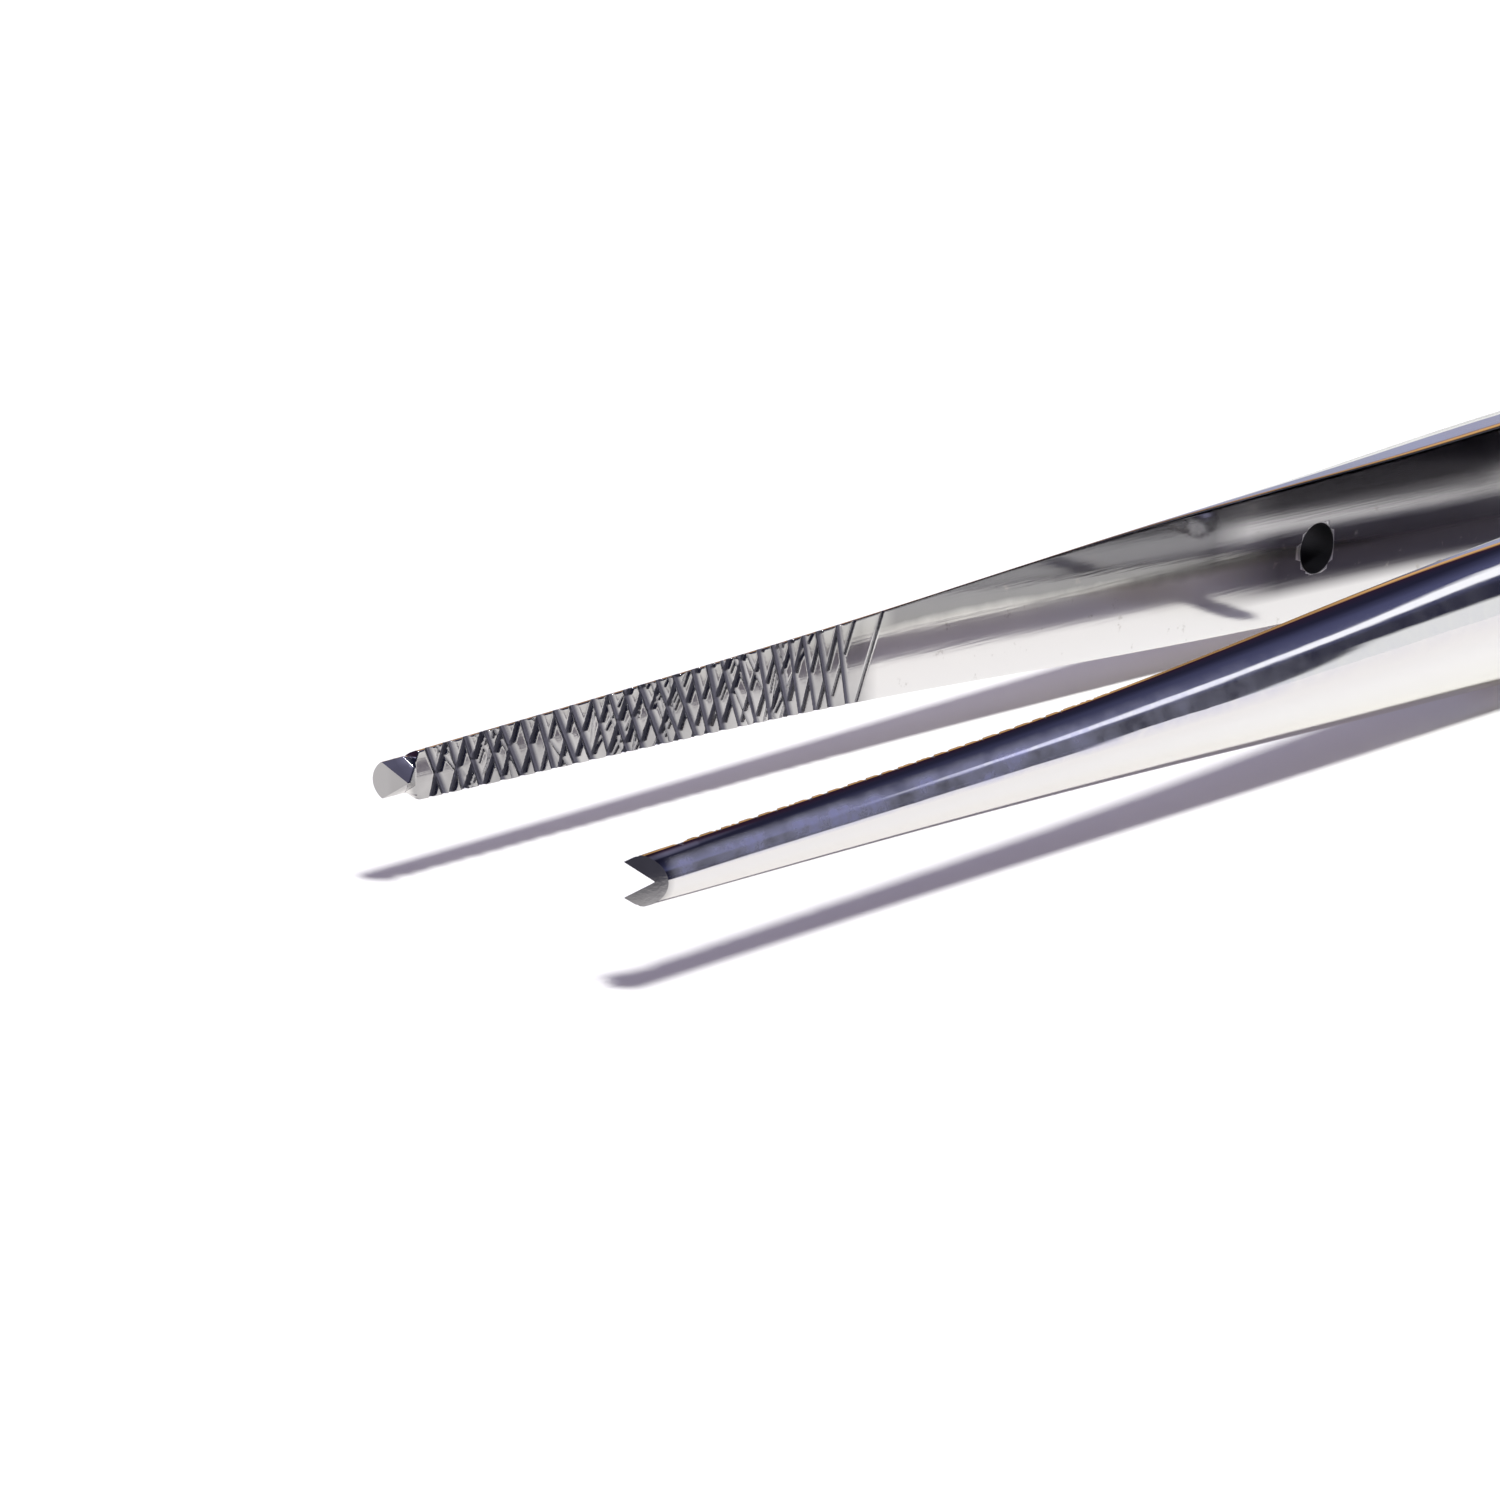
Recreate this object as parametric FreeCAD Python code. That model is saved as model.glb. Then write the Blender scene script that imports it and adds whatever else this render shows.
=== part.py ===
import FreeCAD, Part
import math
import os

from FreeCAD import Vector

# Toothed thumb forceps lying on one edge. Two spring arms are welded together at the heel.
# The far arm (+Y) ends in a single tooth and has a guide hole, and the near arm (-Y) ends in
# two teeth with a notch between them and carries a guide pin.
# Millimetres, +X from the tips to the heel, +Z up, origin on the rest surface under the middle.

# Lengths along the forceps. The front ones are measured from the tips.
overall_length = 145.0
jaw_middle_at = 12.0
jaw_length = 24.0
waist_at = 40.0
guide_at = 53.2
shank_at = 60.0
grip_front_at = 76.0

# The rear ones are measured forwards from the heel or from the front of the weld
weld_length = 10.0
spring_length = 13.0
flex_axis_from_weld = 15.0
grip_rear_from_weld = 31.0

# Clear gap between the two inner faces with the arms at rest
tip_gap = 13.35
jaw_gap = 13.4
waist_gap = 12.7
guide_gap = 11.7
shank_gap = 11.15
grip_front_gap = 9.75
grip_rear_gap = 4.6
spring_gap = 1.4

# Width of an arm, across its flat inner face
tip_width = 1.76
jaw_middle_width = 2.54
jaw_width = 3.58
waist_width = 5.6
guide_width = 6.76
shank_width = 7.3
grip_width = 8.8
grip_swell = 0.3
spring_width = 8.3
weld_width = 7.8
heel_width = 7.2

# Depth of an arm, from its inner face to the crown of its back
tip_depth = 0.8
jaw_middle_depth = 0.95
jaw_depth = 1.2
waist_depth = 1.9
guide_depth = 2.65
shank_depth = 3.2
grip_front_depth = 3.4
grip_rear_depth = 2.5
spring_depth = 1.8
weld_depth = 1.6
heel_depth = 1.5

# Rise of the rounded back above the arm's straight sides
tip_dome = 0.65
jaw_middle_dome = 0.82
jaw_dome = 1.1
waist_dome = 1.75
guide_dome = 1.75
shank_dome = 1.65
grip_front_dome = 1.6
grip_rear_dome = 1.2
spring_dome = 0.9
weld_dome = 0.8
heel_dome = 0.75

# Roundness of the heel, as the set-back of its corners
heel_corner = 3.0

# Cross-cut serrations on the jaws
groove_pitch = 0.85
groove_depth = 0.2
groove_width = 0.4
groove_slant = 24.0
groove_start = 1.9

# Teeth
tooth_height = 0.45
tooth_spacing = 1.24
hollow_depth = 0.38
tooth_run = 0.75
tooth_back_run = 0.55
far_end_bevel = 0.65
near_end_bevel = 0.9
closed_gap = 0.12

# Guide pin and the hole that it enters
hole_diameter = 2.4
pin_diameter = 1.7
pin_reach = 5.4
pin_seat = 1.7
pin_nose = 0.7

# Cross flutes ground into the back of the grip
flute_count = 9
flute_pitch = 2.8
flute_width = 1.5
flute_depth = 0.24
flute_first_at = 80.0

# Room that the cutting tools have past the faces they cut
overcut = 1.0


tip_x = -overall_length / 2.0
heel_x = overall_length / 2.0
weld_front_at = overall_length - weld_length
spring_at = weld_front_at - spring_length
flex_axis_at = weld_front_at - flex_axis_from_weld
grip_rear_at = weld_front_at - grip_rear_from_weld
middle_z = grip_width / 2.0
closing_angle = 2.0 * math.degrees(math.atan((tip_gap - closed_gap) / 2.0 / flex_axis_at))
flex_axis = Vector(tip_x + flex_axis_at, 0.0, 0.0)
up = Vector(0.0, 0.0, 1.0)


def along(from_tip):
    return tip_x + from_tip


# Each station is: distance from the tip, gap, width, depth, dome
def stations():
    grip_loft_width = grip_width + grip_swell
    return [
        (0.0, tip_gap, tip_width, tip_depth, tip_dome),
        (jaw_middle_at, jaw_gap_at(jaw_middle_at), jaw_middle_width, jaw_middle_depth, jaw_middle_dome),
        (jaw_length, jaw_gap, jaw_width, jaw_depth, jaw_dome),
        (waist_at, waist_gap, waist_width, waist_depth, waist_dome),
        (guide_at, guide_gap, guide_width, guide_depth, guide_dome),
        (shank_at, shank_gap, shank_width, shank_depth, shank_dome),
        (grip_front_at, grip_front_gap, grip_loft_width, grip_front_depth, grip_front_dome),
        (grip_rear_at, grip_rear_gap, grip_loft_width, grip_rear_depth, grip_rear_dome),
        (spring_at, spring_gap, spring_width, spring_depth, spring_dome),
        (weld_front_at, 0.0, weld_width, weld_depth, weld_dome),
        (overall_length, 0.0, heel_width, heel_depth, heel_dome),
    ]


# The jaw's inner face is ground flat, so its gap changes in a straight line
def jaw_gap_at(from_tip):
    return tip_gap + (jaw_gap - tip_gap) * from_tip / jaw_length


# One D-shaped section of the far arm: straight sides and a round back, open past the inner face
def section(from_tip, gap, width, depth, dome):
    x = along(from_tip)
    crown = gap / 2.0 + depth
    shoulder = crown - dome
    base = gap / 2.0 - overcut
    low = middle_z - width / 2.0
    high = middle_z + width / 2.0
    base_low = Vector(x, base, low)
    base_high = Vector(x, base, high)
    shoulder_high = Vector(x, shoulder, high)
    shoulder_low = Vector(x, shoulder, low)
    return Part.Wire([
        Part.makeLine(base_low, base_high),
        Part.makeLine(base_high, shoulder_high),
        round_back(shoulder_high, shoulder_low, dome),
        Part.makeLine(shoulder_low, base_low),
    ])


# A circular arc from one shoulder to the other, written as one cubic curve so that every
# section has the same number of poles and the back lofts cleanly
def round_back(shoulder_high, shoulder_low, dome):
    half = (shoulder_high.z - shoulder_low.z) / 2.0
    fullness = (1.0 + 2.0 * (dome / half) ** 2) / 3.0
    rise = dome * 4.0 / 3.0
    pole_high = Vector(shoulder_high.x, shoulder_high.y + rise, middle_z + half * fullness)
    pole_low = Vector(shoulder_low.x, shoulder_low.y + rise, middle_z - half * fullness)
    curve = Part.BezierCurve()
    curve.setPoles([shoulder_high, pole_high, pole_low, shoulder_low])
    return curve.toShape()


# Everything on the inner side of the far arm's flat face, as one tool
def inner_side_tool():
    tip = Vector(along(0.0), tip_gap / 2.0, 0.0)
    jaw_end = Vector(along(jaw_length), jaw_gap / 2.0, 0.0)
    weld_front = Vector(along(weld_front_at), 0.0, 0.0)
    heel = Vector(heel_x + overcut, 0.0, 0.0)
    before_tip = tip - (jaw_end - tip).normalize() * overcut
    body_points = [jaw_end]
    for at, gap in ((waist_at, waist_gap), (guide_at, guide_gap), (shank_at, shank_gap),
                    (grip_front_at, grip_front_gap), (grip_rear_at, grip_rear_gap), (spring_at, spring_gap)):
        body_points.append(Vector(along(at), gap / 2.0, 0.0))
    body_points.append(weld_front)
    body = Part.BSplineCurve()
    body.interpolate(Points=body_points, InitialTangent=jaw_end - tip, FinalTangent=heel - weld_front)
    far_side = -2.0 * overcut
    corner_tip = Vector(before_tip.x, far_side, 0.0)
    corner_heel = Vector(heel.x, far_side, 0.0)
    outline = Part.Wire([
        Part.makeLine(before_tip, jaw_end),
        body.toShape(),
        Part.makeLine(weld_front, heel),
        Part.makeLine(heel, corner_heel),
        Part.makeLine(corner_heel, corner_tip),
        Part.makeLine(corner_tip, before_tip),
    ])
    tool = Part.Face(outline).extrude(up * (grip_width + 2.0 * overcut))
    tool.translate(up * -overcut)
    return tool


# The outline seen from the side: flat edges to rest on and a rounded heel
def side_outline():
    reach = tip_gap + grip_front_depth
    start = tip_x - overcut
    arc_start = heel_x - heel_corner
    low_tip = Vector(start, 0.0, 0.0)
    high_tip = Vector(start, 0.0, grip_width)
    high_heel = Vector(arc_start, 0.0, grip_width)
    low_heel = Vector(arc_start, 0.0, 0.0)
    heel = Part.Arc(high_heel, Vector(heel_x, 0.0, middle_z), low_heel).toShape()
    outline = Part.Wire([
        Part.makeLine(low_tip, high_tip),
        Part.makeLine(high_tip, high_heel),
        heel,
        Part.makeLine(low_heel, low_tip),
    ])
    solid = Part.Face(outline).extrude(Vector(0.0, 2.0 * reach, 0.0))
    solid.translate(Vector(0.0, -reach, 0.0))
    return solid


# A far arm with a plain end, its inner face cut flat and its edges cut straight.
# A low degree keeps the loft from swinging in and out between its stations.
def arm_blank():
    loft_degree = 2
    sections = [section(*values) for values in stations()]
    body = Part.makeLoft(sections, True, False, False, loft_degree)
    body = body.cut(inner_side_tool())
    return body.common(side_outline())


# Frame of the far jaw: along the jaw from the tip, across it, and in towards the other arm
def jaw_placement():
    tip = Vector(along(0.0), tip_gap / 2.0, middle_z)
    jaw_end = Vector(along(jaw_length), jaw_gap / 2.0, middle_z)
    run = (jaw_end - tip).normalize()
    inward = run.cross(up)
    return FreeCAD.Placement(tip, FreeCAD.Rotation(run, up, inward, "XYZ"))


def in_jaw_frame(shape):
    placed = shape.copy()
    placed.Placement = jaw_placement().multiply(placed.Placement)
    return placed


# A prism in the jaw's frame: its outline lies across the jaw and it runs along the jaw
def jaw_prism(outline, start, end):
    points = [Vector(start, across, inward) for across, inward in outline]
    face = Part.Face(Part.makePolygon(points + points[:1]))
    return face.extrude(Vector(end - start, 0.0, 0.0))


# A prism in the jaw's frame: its outline is a side view and it runs across the jaw
def cross_prism(outline, half_width):
    points = [Vector(run, -half_width, inward) for run, inward in outline]
    face = Part.Face(Part.makePolygon(points + points[:1]))
    return face.extrude(Vector(0.0, 2.0 * half_width, 0.0))


# One V-shaped groove across the jaw, slanted one way or the other
def groove(at, slant):
    length = 2.0 * jaw_width / math.cos(math.radians(slant))
    half = groove_width / 2.0 * (groove_depth + overcut) / groove_depth
    points = [
        Vector(-half, -length / 2.0, overcut),
        Vector(half, -length / 2.0, overcut),
        Vector(0.0, -length / 2.0, -groove_depth),
    ]
    tool = Part.Face(Part.makePolygon(points + points[:1])).extrude(Vector(0.0, length, 0.0))
    tool.rotate(Vector(0.0, 0.0, 0.0), up, slant)
    tool.translate(Vector(at, 0.0, 0.0))
    return in_jaw_frame(tool)


def serrate(arm):
    count = int((jaw_length - groove_start) / groove_pitch)
    places = [groove_start + groove_pitch * (number + 0.5) for number in range(count)]
    arm = arm.cut([groove(at, groove_slant) for at in places])
    return arm.cut([groove(at, -groove_slant) for at in places])


# Side view of the space that teeth may fill: full height at the tip, then sloping to the face
def tooth_side_view(height):
    foot = -tip_depth / 2.0
    return [(0.0, foot), (0.0, height), (tooth_run, height), (tooth_run + tooth_back_run, 0.0),
            (tooth_run + tooth_back_run, foot)]


# The single tooth stands between two hollows, which take the other arm's teeth. Each flank of
# the tooth runs on down through its hollow and out through the side of the tip.
def add_single_tooth(arm):
    half = tooth_spacing / 2.0
    flank = (tooth_height + hollow_depth) / half
    run = tooth_run + tooth_back_run
    edge = tip_width / 2.0 + overcut
    for sign in (1.0, -1.0):
        hollow = jaw_prism([
            (sign * (tooth_height - overcut) / flank, overcut),
            (sign * edge, tooth_height - flank * edge),
            (sign * edge, overcut),
        ], -overcut, run)
        arm = arm.cut(in_jaw_frame(hollow.common(hollow_side_view(edge))))
    tooth = jaw_prism([
        (-half, -hollow_depth),
        (half, -hollow_depth),
        (0.0, tooth_height),
    ], 0.0, run)
    tooth = tooth.common(cross_prism(tooth_side_view(tooth_height), edge))
    arm = arm.fuse(in_jaw_frame(tooth)).removeSplitter()
    return arm.cut(in_jaw_frame(end_bevel(far_end_bevel, tooth_height, -tip_depth)))


# Side view of a hollow: open to the full depth at the tip, then sloping up to the inner face
def hollow_side_view(half_width):
    run = tooth_run + tooth_back_run
    return cross_prism([
        (-overcut, -2.0 * tip_depth),
        (tooth_run, -2.0 * tip_depth),
        (run, 0.0),
        (run, overcut),
        (-overcut, overcut),
    ], half_width)


# The two teeth stand one each side of a notch, which takes the single tooth
def add_two_teeth(arm):
    half = tooth_spacing / 2.0
    flank = (tooth_height + hollow_depth) / half
    run = tooth_run + tooth_back_run
    edge = tip_width / 2.0
    top = tooth_height + overcut
    for sign in (1.0, -1.0):
        tooth = jaw_prism([
            (0.0, -tooth_height),
            (sign * half, hollow_depth),
            (sign * edge, 0.0),
            (sign * edge, -tip_depth / 2.0),
            (0.0, -tip_depth / 2.0 - tooth_height),
        ], 0.0, run)
        tooth = tooth.common(cross_prism(tooth_side_view(hollow_depth), edge + overcut))
        arm = arm.fuse(in_jaw_frame(tooth)).removeSplitter()
    notch = jaw_prism([
        (0.0, -tooth_height),
        (top / flank, overcut),
        (-top / flank, overcut),
    ], -overcut, run + tooth_back_run)
    floor = cross_prism([
        (-overcut, -tooth_height - overcut),
        (tooth_run + tooth_back_run / 2.0, -tooth_height - overcut),
        (run + 2.0 * tooth_back_run, 0.0),
        (run + 2.0 * tooth_back_run, 2.0 * overcut),
        (-overcut, 2.0 * overcut),
    ], edge + overcut)
    arm = arm.cut(in_jaw_frame(notch.common(floor)))
    return arm.cut(in_jaw_frame(end_bevel(near_end_bevel, -tip_depth, hollow_depth)))


# What the slanted end face removes. It leaves the tip's full length at the height end_at,
# and is set back by the bevel at the height back_at.
def end_bevel(set_back, back_at, end_at):
    slope = set_back / (back_at - end_at)
    beyond = 2.0 * overcut
    high = max(back_at, end_at) + beyond
    low = min(back_at, end_at) - beyond
    return cross_prism([
        ((low - end_at) * slope, low),
        ((high - end_at) * slope, high),
        (-beyond, high),
        (-beyond, low),
    ], tip_width)


# Shallow V-shaped flutes straight across the back, so each one fades out down the dome
def flute_back(arm):
    tools = []
    for number in range(flute_count):
        at = flute_first_at + number * flute_pitch
        crown = crown_at(arm, at)
        mouth = flute_width / 2.0 * (flute_depth + overcut) / flute_depth
        points = [
            Vector(along(at), crown - flute_depth, -overcut),
            Vector(along(at) + mouth, crown + overcut, -overcut),
            Vector(along(at) - mouth, crown + overcut, -overcut),
        ]
        face = Part.Face(Part.makePolygon(points + points[:1]))
        tools.append(face.extrude(up * (grip_width + 2.0 * overcut)))
    return arm.cut(tools)


# How far out the crown of a far arm's back lies at a distance from the tip
def crown_at(arm, from_tip):
    reach = tip_gap + grip_front_depth
    start = Vector(along(from_tip), 0.0, middle_z)
    ray = Part.makeLine(start, start + Vector(0.0, reach, 0.0))
    return ray.common(arm).BoundBox.YMax


# The near arm is the far arm's mirror image
def mirrored(shape):
    return shape.mirror(Vector(0.0, 0.0, 0.0), Vector(0.0, 1.0, 0.0))


# Turns a piece of the closed forceps back to where it is at rest
def opened(shape):
    turned = shape.copy()
    turned.rotate(flex_axis, up, closing_angle)
    return turned


# Distance between the inner faces at the guide when the arms are closed
def closed_guide_gap():
    lever = flex_axis_at - guide_at
    return guide_gap - 2.0 * lever * math.tan(math.radians(closing_angle / 2.0))


def guide_hole():
    start = Vector(along(guide_at), guide_gap / 2.0 - overcut, middle_z)
    length = guide_depth + 2.0 * overcut
    return Part.makeCylinder(hole_diameter / 2.0, length, start, Vector(0.0, 1.0, 0.0))


# The pin is laid out in the closed forceps, in line with the hole, and then opened with its arm
def guide_pin():
    radius = pin_diameter / 2.0
    out = Vector(0.0, 1.0, 0.0)
    face = guide_gap / 2.0 - closed_guide_gap()
    start = Vector(along(guide_at), face - pin_seat, middle_z)
    straight = pin_seat + pin_reach - pin_nose
    shank = Part.makeCylinder(radius, straight, start, out)
    nose = Part.makeCone(radius, radius / 2.0, pin_nose, start + out * straight, out)
    return opened(shank.fuse(nose).removeSplitter())


def arm_single_tooth():
    arm = add_single_tooth(serrate(flute_back(arm_blank())))
    return arm.cut(guide_hole())


def arm_two_teeth():
    arm = mirrored(add_two_teeth(serrate(flute_back(arm_blank()))))
    return arm.cut(guide_pin())


def export(name, shape):
    shape.exportStep("parts/" + name + ".step")
    print(name, "solids", len(shape.Solids), "valid", shape.isValid(), "volume", round(shape.Volume, 3))


os.makedirs("parts", exist_ok=True)
export("arm_single_tooth", arm_single_tooth())
export("arm_two_teeth", arm_two_teeth())
export("guide_pin", guide_pin())
print("closing angle", round(closing_angle, 4))
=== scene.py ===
import math
import random

import bpy
import numpy as np
from bpy.props import FloatProperty, FloatVectorProperty, IntProperty, PointerProperty
from mathutils import Matrix, Vector


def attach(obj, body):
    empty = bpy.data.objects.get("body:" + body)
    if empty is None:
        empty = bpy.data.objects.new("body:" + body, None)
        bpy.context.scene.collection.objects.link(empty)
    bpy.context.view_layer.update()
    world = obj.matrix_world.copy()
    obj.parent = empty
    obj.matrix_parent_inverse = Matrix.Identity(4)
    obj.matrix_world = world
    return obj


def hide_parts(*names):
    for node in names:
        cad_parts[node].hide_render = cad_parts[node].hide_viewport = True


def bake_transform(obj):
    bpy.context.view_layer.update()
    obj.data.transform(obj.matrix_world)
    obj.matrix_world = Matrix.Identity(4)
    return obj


bl_info = {
    "name": "Toothed dressing forceps",
    "version": (1, 0, 0),
    "blender": (4, 5, 0),
    "location": "3D View > Sidebar > Forceps",
    "description": "Polished steel forceps lying on their edge, built over their solid model",
    "category": "Add Mesh",
}

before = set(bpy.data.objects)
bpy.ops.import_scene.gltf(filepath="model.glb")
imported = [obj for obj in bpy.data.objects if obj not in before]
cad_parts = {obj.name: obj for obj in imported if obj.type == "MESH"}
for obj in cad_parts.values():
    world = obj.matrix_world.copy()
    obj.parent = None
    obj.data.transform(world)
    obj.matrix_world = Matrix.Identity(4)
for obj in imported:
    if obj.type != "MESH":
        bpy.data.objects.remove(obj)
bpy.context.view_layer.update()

MM = 0.001
FAR_NODE = "arm_single_tooth"
NEAR_NODE = "arm_two_teeth"
PIN_NODE = "guide_pin"
FIXED_BODY = "fixed_arm"


# A length property, given in millimetres and kept in metres
def length(name, description, millimetres):
    return FloatProperty(
        name=name, description=description, default=millimetres * MM, min=0.0, precision=5, unit="LENGTH"
    )


def angle(name, description, degrees):
    return FloatProperty(
        name=name, description=description, default=math.radians(degrees), precision=4, unit="ROTATION"
    )


def colour(name, description, value):
    return FloatVectorProperty(
        name=name, description=description, default=value, min=0.0, max=1.0, size=3, subtype="COLOR"
    )


# Two distances that belong together, given in millimetres
def length_span(name, description, first, second):
    return FloatVectorProperty(
        name=name, description=description, default=(first * MM, second * MM), size=2, precision=5,
        unit="LENGTH"
    )


# Two headings or two heights that belong together, given in degrees
def angle_span(name, description, first, second):
    return FloatVectorProperty(
        name=name, description=description, default=(math.radians(first), math.radians(second)), size=2,
        precision=4, unit="ROTATION"
    )


# Two places across the width, as shares of the half width from the middle
def share_span(name, description, first, second):
    return FloatVectorProperty(name=name, description=description, default=(first, second), size=2)


# Gap, width, depth and dome of an arm at one station, given in millimetres
def section(name, gap, width, depth, dome):
    return FloatVectorProperty(
        name=name, description="Gap between the arms, width, depth and dome at this station",
        default=(gap * MM, width * MM, depth * MM, dome * MM), size=4, precision=5, unit="LENGTH"
    )


# Lengths along the arms, the same as in the solid model
class ForcepsLengths(bpy.types.PropertyGroup):
    overall: length("Overall length", "From the tips to the heel", 145.0)
    jaw_middle_at: length("Middle of the jaw", "Distance of the middle of the jaw from the tip", 12.0)
    jaw: length("Jaw length", "Length of the flat serrated jaw", 24.0)
    waist_at: length("Waist", "Distance of the waist from the tip", 40.0)
    guide_at: length("Guide", "Distance of the guide pin and its hole from the tip", 53.2)
    shank_at: length("Shank", "Distance of the fully flat-sided shank from the tip", 60.0)
    grip_front_at: length("Front of the grip", "Distance of the front of the grip from the tip", 76.0)
    grip_rear_at: length("Rear of the grip", "Distance of the rear of the grip from the tip", 104.0)
    spring_at: length("Spring", "Distance of the thin sprung stretch from the tip", 122.0)
    weld_at: length("Weld", "Distance of the front of the weld from the tip", 135.0)
    heel_corner: length("Heel corner", "Set-back of the corners of the rounded heel", 3.0)
    hinge_room: length("Bending length", "Length over which the near arm bends when it is squeezed", 30.0)


# The arms' sections at each station from the tip to the heel
class ForcepsSections(bpy.types.PropertyGroup):
    tip: section("Tip", 13.35, 1.76, 0.8, 0.65)
    jaw_middle: section("Middle of the jaw", 13.375, 2.54, 0.95, 0.82)
    jaw_end: section("End of the jaw", 13.4, 3.58, 1.2, 1.1)
    waist: section("Waist", 12.7, 5.6, 1.9, 1.75)
    guide: section("Guide", 11.7, 6.76, 2.65, 1.75)
    shank: section("Shank", 11.15, 7.3, 3.2, 1.65)
    grip_front: section("Front of the grip", 9.75, 9.1, 3.4, 1.6)
    grip_rear: section("Rear of the grip", 4.6, 9.1, 2.5, 1.2)
    spring: section("Spring", 1.4, 8.3, 1.8, 0.9)
    weld: section("Front of the weld", 0.0, 7.8, 1.6, 0.8)
    heel: section("Heel", 0.0, 7.2, 1.5, 0.75)
    grip_width: length("Grip width", "Width of the flat-sided grip, which the forceps lies on", 8.8)
    edge_round: length("Edge rounding", "Radius of the polished edges of the inner faces", 0.07)
    least_side: length("Least side", "Least height of the straight sides of an arm", 0.06)


class JawSizes(bpy.types.PropertyGroup):
    groove_pitch: length("Groove pitch", "Distance between two serrations", 0.85)
    groove_depth: length("Groove depth", "Depth of a serration", 0.2)
    groove_width: length("Groove width", "Width of a serration at the face", 0.4)
    groove_slant: angle("Groove slant", "Slant of each set of serrations", 20.5)
    groove_start: length("First groove", "Distance of the first serration from the tip", 1.9)
    tooth_height: length("Tooth height", "Height of the single tooth above the jaw", 0.45)
    tooth_spacing: length("Tooth spacing", "Distance between the two teeth", 1.24)
    hollow_depth: length("Hollow depth", "Depth of the hollows beside the single tooth", 0.38)
    tooth_run: length("Tooth length", "Length of a tooth's full height", 0.75)
    tooth_back_run: length("Tooth back", "Length of the slope behind a tooth", 0.55)
    far_bevel: length("Far end bevel", "Set-back of the slanted end with one tooth", 0.65)
    near_bevel: length("Near end bevel", "Set-back of the slanted end with two teeth", 0.9)
    hole: length("Hole diameter", "Diameter of the guide hole", 2.4)
    stray_marks: IntProperty(name="Stray marks", description="Number of fine file marks", default=34, min=0)


class FluteSizes(bpy.types.PropertyGroup):
    count: IntProperty(name="Flutes", description="Number of flutes across the back", default=9, min=0)
    pitch: length("Flute pitch", "Distance between two flutes", 2.8)
    width: length("Flute width", "Width of a flute at the crown", 1.5)
    depth: length("Flute depth", "Depth of a flute at the crown", 0.24)
    first_at: length("First flute", "Distance of the first flute from the tip", 80.0)


class SteelColours(bpy.types.PropertyGroup):
    polished: colour("Polished steel", "Colour of the polished faces", (0.74, 0.74, 0.75))
    # The serrations' colour is partly painted shade over their rough metal
    rough_groove_and_shade: colour("Serrations", "Colour of the rough metal in the serrations, with painted shade", (0.12, 0.12, 0.155))
    # The sheen is painted: a bluish colour standing in for lamp light caught on the upper backs
    sheen: colour("Sheen", "Colour of the painted sheen on the backs near the tips", (0.42, 0.43, 0.66))
    stain: colour("Stains", "Colour of the faint stains on the inner faces", (0.42, 0.4, 0.38))
    # Painted reflection: a grey that stands in for what the upper inner faces and the tip ends mirror
    painted_reflection_grey: colour("Painted reflection grey", "Colour of the painted reflection on the upper inner faces and the tip ends", (0.29, 0.29, 0.305))
    worn: colour("Worn jaw", "Colour of the worn steel between the serrations", (0.36, 0.36, 0.37))
    # Painted dark reflection in bands behind the guide hole
    painted_dark_band: colour("Dark band", "Colour of the painted dark reflection bands behind the guide hole", (0.05, 0.045, 0.06))
    # Painted shade inside the guide hole
    hole: colour("Hole", "Colour of the painted shade inside the guide hole", (0.03, 0.03, 0.036))
    pin: colour("Pin", "Colour of the turned pin", (0.66, 0.66, 0.68))


# Where the steel carries its painted sheen and its painted reflections, where the jaw is worn and where
# stains lie
class SteelWearAndPaintedLight(bpy.types.PropertyGroup):
    # Where the painted sheen lies
    painted_sheen_start: length_span("Painted sheen start", "Distances from the tip where the painted sheen sets in", 0.9, 1.6)
    painted_sheen_fade: length_span("Painted sheen fade", "Distances from the tip over which they fade", 16.0, 36.0)
    painted_sheen_band: share_span("Painted sheen band", "Part of the back's width that carries the painted sheen", 0.12, 0.72)
    jaw_fade: length_span("Worn jaw", "Distances from the tip over which the worn jaw ends", 23.8, 24.8)
    # Where the painted reflection on the upper inner face lies
    painted_reflection_reach: length_span("Painted reflection reach", "Distances from the tip where the painted reflection lies", 24.6, 47.0)
    painted_reflection_fall: length_span("Painted reflection fall", "Distances from the tip over which its edge falls", 26.0, 44.0)
    painted_reflection_edge: share_span("Painted reflection edge", "Places of its edge before and after it falls", 0.55, 0.05)
    stain_start: length_span("Stain start", "Distances from the tip over which stains set in", 24.4, 25.8)
    # Where the painted dark reflection bands lie, and the brighter painted reflection stripe in them
    painted_band_reach: length_span("Painted band reach", "Distances from the tip where the painted dark reflection lies", 47.5, 82.0)
    painted_band_edge: share_span("Painted band edge", "Places where the painted dark reflection ends downwards", -0.65, -0.42)
    stripe_fall: length_span("Stripe fall", "Distances from the tip where the stripe falls", 49.0, 62.0)
    stripe_place: share_span("Stripe place", "Places of the stripe before and after that", 0.53, 0.35)


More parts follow.
